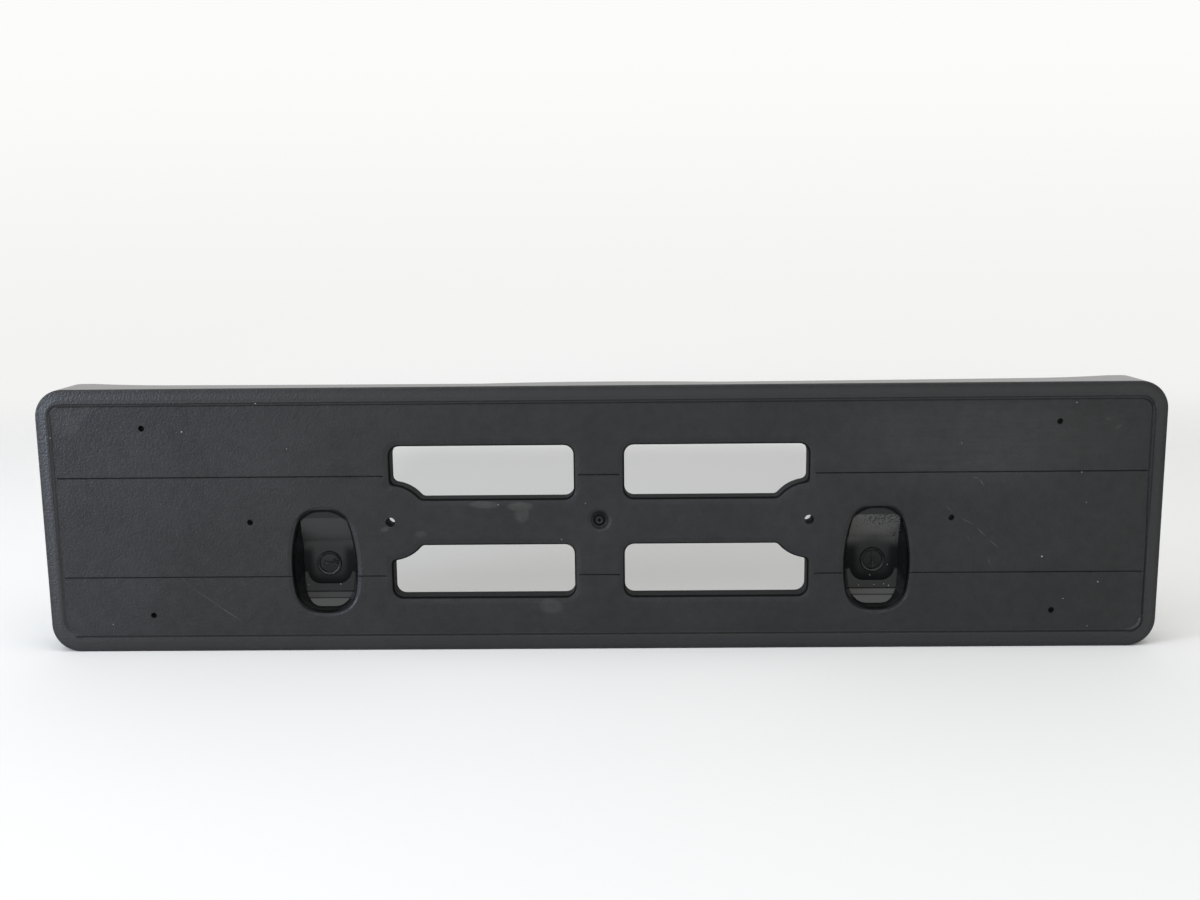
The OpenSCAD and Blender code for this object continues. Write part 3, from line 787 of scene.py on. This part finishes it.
def ring_bead(x, y, z, radius, half_w, height):
    """A raised round ring that lies in a surface, worn to an uneven height.

    A closed tube with an oval section: the section's angle gives the distance
    from the ring's middle and the height, and the other angle goes round. The
    wear is a wave with two crests round the ring and a fainter one with five.
    """
    u, v = np.meshgrid(
        np.linspace(0, math.tau, RING_POINTS, endpoint=False),
        np.linspace(0, math.tau, RING_SECTION_POINTS, endpoint=False), indexing="ij")
    reach = radius + half_w * np.cos(v)
    worn = 1 - 0.12 * (1 + np.cos(2 * u + 0.7)) - 0.05 * np.cos(5 * u)
    points = np.stack((x + reach * np.cos(u), y - height * worn * np.sin(v), z + reach * np.sin(u)), axis=-1)
    return points.reshape(-1, 3), tube_faces(RING_POINTS, RING_SECTION_POINTS, True)


def bar_bead(x, y, z, start, end, half_w, height):
    """A raised bar with round ends that lies in a surface.

    Along the bar its width and height follow the root of the first angle's
    sine, so that they stay nearly even, and the other angle goes round the bar.
    """
    start, end = np.array(start), np.array(end)
    span = np.linalg.norm(end - start)
    along = (end - start) / span
    u, v = np.meshgrid(
        np.linspace(0, math.pi, BAR_POINTS),
        np.linspace(0, math.tau, BAR_SECTION_POINTS, endpoint=False), indexing="ij")
    size = np.clip(np.sin(u), 0, 1) ** 0.5
    middle = (start + end) / 2 - along * span / 2 * np.cos(u)[..., None]
    across = half_w * size * np.cos(v)
    points = np.stack((
        x + middle[..., 0] - along[1] * across,
        y - height * size * np.sin(v),
        z + middle[..., 1] + along[0] * across), axis=-1)
    return points.reshape(-1, 3), tube_faces(BAR_POINTS, BAR_SECTION_POINTS, False)


def tube_faces(rows, columns, closed):
    """Quads of a tube: the columns join up, and the rows join up too if it is closed."""
    numbers = point_numbers(rows, columns)
    numbers = np.concatenate((numbers, numbers[:, :1]), axis=1)
    if closed:
        numbers = np.concatenate((numbers, numbers[:1]), axis=0)
    return grid_faces(numbers)


def pointer(x, z, turn):
    """An arrow on the seat at a turn in degrees: a shaft and two barbs."""
    turn = math.radians(turn)
    ahead = np.array((math.cos(turn), math.sin(turn)))
    aside = np.array((-ahead[1], ahead[0]))
    tip = ahead * POINTER_TIP
    return [
        bar_bead(x, SEAT_Y, z, -ahead * POINTER_TAIL, ahead * POINTER_HEAD, *SHAFT_LINE),
        bar_bead(x, SEAT_Y, z, tip, tip - ahead * BARB + aside * BARB, *BARB_LINE),
        bar_bead(x, SEAT_Y, z, tip, tip - ahead * BARB - aside * BARB, *BARB_LINE),
    ]


def outward(points, faces):
    """The faces of a closed bead, turned round if its volume comes out negative."""
    corners = points[faces]
    volume = np.einsum("ij,ij->i", corners[:, 0] - points.mean(0), np.cross(
        corners[:, 1] - corners[:, 0], corners[:, 2] - corners[:, 0])).sum()
    return faces if volume > 0 else faces[:, ::-1]


def bead_object(name, beads, material):
    """One piece from several closed beads, with the faces of each turned outwards."""
    points, faces, count = [], [], 0
    for bead_points, bead_faces in beads:
        faces.append(outward(bead_points, bead_faces) + count)
        points.append(bead_points)
        count += len(bead_points)
    made = mesh_object(name, np.concatenate(points) * MM, np.concatenate(faces))
    # Each end of a bar is a ring of points in one place
    merged = bmesh.new()
    merged.from_mesh(made.data)
    bmesh.ops.remove_doubles(merged, verts=merged.verts, dist=1e-7)
    merged.to_mesh(made.data)
    merged.free()
    smooth(made)
    made.data.materials.append(material)
    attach(made, "root")


class PLATEHOLDER_OT_studio(bpy.types.Operator):
    """Builds the floor with its curved backdrop, the soft lights and the camera"""
    bl_idname = "plate_holder.studio"
    bl_label = "Build the Studio"

    def execute(self, context):
        settings = context.scene.plate_studio
        backdrop(settings)
        softbox(
            "SoftboxOverhead", place=(0.0, -0.40, 1.25), target=(0.0, -0.05, 0.0), size=(1.7, 1.2),
            power=settings.overhead, colour="#fffefc")
        softbox(
            "SoftboxLeft", place=(-1.20, -0.72, 0.28), target=(-0.2, 0.0, 0.0), size=(0.5, 0.8),
            power=settings.side, colour="#dce8ff")
        even_light(settings)
        photo_camera(context.scene)
        return {"FINISHED"}


def backdrop(settings):
    """Floor and wall in one sheet.

    The profile runs along the floor, turns up through a quarter circle and
    runs up the wall, and is carried along X.
    """
    floor_z = float(LOW[2]) * MM
    turn = np.linspace(-math.pi / 2, 0, 25)
    y = np.concatenate((
        [FLOOR_FRONT_Y, FLOOR_ROW_Y], settings.wall_y - BEND_R + BEND_R * np.cos(turn), [settings.wall_y]))
    z = np.concatenate(([0, 0], BEND_R + BEND_R * np.sin(turn), [WALL_H])) + floor_z
    x = np.linspace(-settings.floor_reach, settings.floor_reach, 5)
    points = np.stack((np.repeat(x, len(y)), np.tile(y, len(x)), np.tile(z, len(x))), axis=-1)
    made = mesh_object("StudioFloor", points, grid_faces(point_numbers(len(x), len(y)))[:, ::-1])
    smooth(made)
    made.data.materials.append(matt_paper(settings))
    return made


def matt_paper(settings):
    """Matt studio paper that turns into the even colour of the room far from the holder.

    Behind the holder a soft shadow is painted into its colour. The room's colour
    is seen by the camera and in reflections only, so it lights nothing.
    """
    material, tree = new_material("PaperMatt")
    place = add(tree, "ShaderNodeTexCoord").outputs["Object"]
    x, y, z = parts(tree, place)
    # Painted shadow behind the holder
    shade = product(
        tree, fade(tree, maths(tree, "ABSOLUTE", x), 0.30, 0.16),
        fade(tree, y, 0.0, 0.14), fade(tree, y, 0.74, 0.52))
    colour = scaled(tree, linear(settings.floor)[:3], between(tree, shade, 1.0, settings.shade))
    paper = add(tree, "ShaderNodeBsdfPrincipled", {
        "Base Color": colour, "Roughness": 0.75, "Specular IOR Level": 0.3})
    path = add(tree, "ShaderNodeLightPath").outputs
    seen = most(tree, path["Is Camera Ray"], path["Is Glossy Ray"])
    far = product(tree, fade(tree, length(tree, place), 0.7, 1.3), seen)
    tone = mixed(tree, fade(tree, z, -0.05, 0.45), linear(settings.distant), linear(settings.high))
    room = add(tree, "ShaderNodeEmission", {"Color": tone, "Strength": 1.0})
    shader = add(tree, "ShaderNodeMixShader", {0: far, 1: paper.outputs[0], 2: room.outputs[0]})
    add(tree, "ShaderNodeOutputMaterial", {"Surface": shader.outputs[0]})
    return material


def softbox(name, place, target, size, power, colour):
    """A rectangular lamp at a place, turned towards a target."""
    lamp = bpy.data.lights.new(name, "AREA")
    lamp.shape = "RECTANGLE"
    lamp.size, lamp.size_y = size
    lamp.energy = power
    lamp.color = linear(colour)[:3]
    made = bpy.data.objects.new(name, lamp)
    back = np.array(place) - np.array(target)
    back /= np.linalg.norm(back)
    right = np.cross((0, 0, 1), back)
    right /= np.linalg.norm(right)
    made.matrix_world = placed((right, np.cross(back, right), back), place)
    made.visible_camera = False
    bpy.context.scene.collection.objects.link(made)


def placed(directions, place):
    """The matrix of an object from its right, up and back directions and its place."""
    matrix = np.eye(4)
    matrix[:3, :3] = np.stack(directions, axis=1)
    matrix[:3, 3] = place
    return Matrix(matrix.tolist())


def even_light(settings):
    """To the camera a pale room that is whiter higher up, and to all else a white one, brighter in front."""
    world = bpy.data.worlds.new("StudioLight")
    world.use_nodes = True
    tree = world.node_tree
    tree.nodes.clear()
    _, ahead, up = parts(tree, add(tree, "ShaderNodeTexCoord").outputs["Generated"])
    front = fade(tree, ahead, 0.1, -0.5)
    room = between(tree, front, settings.sky, settings.front_sky)
    tone = mixed(tree, fade(tree, up, -0.02, 0.18), linear(settings.distant), linear(settings.high))
    seen = add(tree, "ShaderNodeLightPath").outputs["Is Camera Ray"]
    background = add(tree, "ShaderNodeBackground", {
        "Color": mixed(tree, seen, linear("#ffffff"), tone),
        "Strength": between(tree, seen, room, 1.0)})
    add(tree, "ShaderNodeOutputWorld", {"Surface": background.outputs[0]})
    bpy.context.scene.world = world


def photo_camera(scene):
    """The camera of the photo, from its place and its three directions."""
    camera = bpy.data.cameras.new("PhotoCamera")
    camera.lens = CAMERA_LENS
    camera.sensor_width = CAMERA_SENSOR
    camera.clip_start = 0.01
    camera.clip_end = 20.0
    made = bpy.data.objects.new("PhotoCamera", camera)
    directions = (CAMERA_RIGHT, CAMERA_UP, -np.array(CAMERA_VIEW))
    made.matrix_world = placed(directions, np.array(CAMERA_PLACE) * MM)
    scene.collection.objects.link(made)
    scene.camera = made
    scene.view_settings.view_transform = "Standard"


class PLATEHOLDER_PT_panel(bpy.types.Panel):
    """Settings and buttons of the holder and of the studio"""
    bl_label = "Plate Holder"
    bl_idname = "PLATEHOLDER_PT_panel"
    bl_space_type = "VIEW_3D"
    bl_region_type = "UI"
    bl_category = "Plate Holder"

    def draw(self, context):
        for heading, group, operators in (
                ("Holder", context.scene.holder_finish, (PLATEHOLDER_OT_finish, PLATEHOLDER_OT_marks)),
                ("Studio", context.scene.plate_studio, (PLATEHOLDER_OT_studio,))):
            box = self.layout.box()
            box.label(text=heading)
            for name in group.__annotations__:
                box.prop(group, name)
            for operator in operators:
                box.operator(operator.bl_idname)


CLASSES = (
    HolderFinishSettings,
    StudioSettings,
    PLATEHOLDER_OT_finish,
    PLATEHOLDER_OT_marks,
    PLATEHOLDER_OT_studio,
    PLATEHOLDER_PT_panel,
)


def register():
    """Registers the classes and gives the scene its two groups of settings."""
    for each in CLASSES:
        bpy.utils.register_class(each)
    bpy.types.Scene.holder_finish = bpy.props.PointerProperty(type=HolderFinishSettings)
    bpy.types.Scene.plate_studio = bpy.props.PointerProperty(type=StudioSettings)


def unregister():
    """Takes the settings and the classes away again."""
    del bpy.types.Scene.plate_studio
    del bpy.types.Scene.holder_finish
    for each in reversed(CLASSES):
        bpy.utils.unregister_class(each)


def main():
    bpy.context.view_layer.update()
    register()
    bpy.ops.plate_holder.finish()
    bpy.ops.plate_holder.marks()
    bpy.ops.plate_holder.studio()


if __name__ == "__main__":
    main()
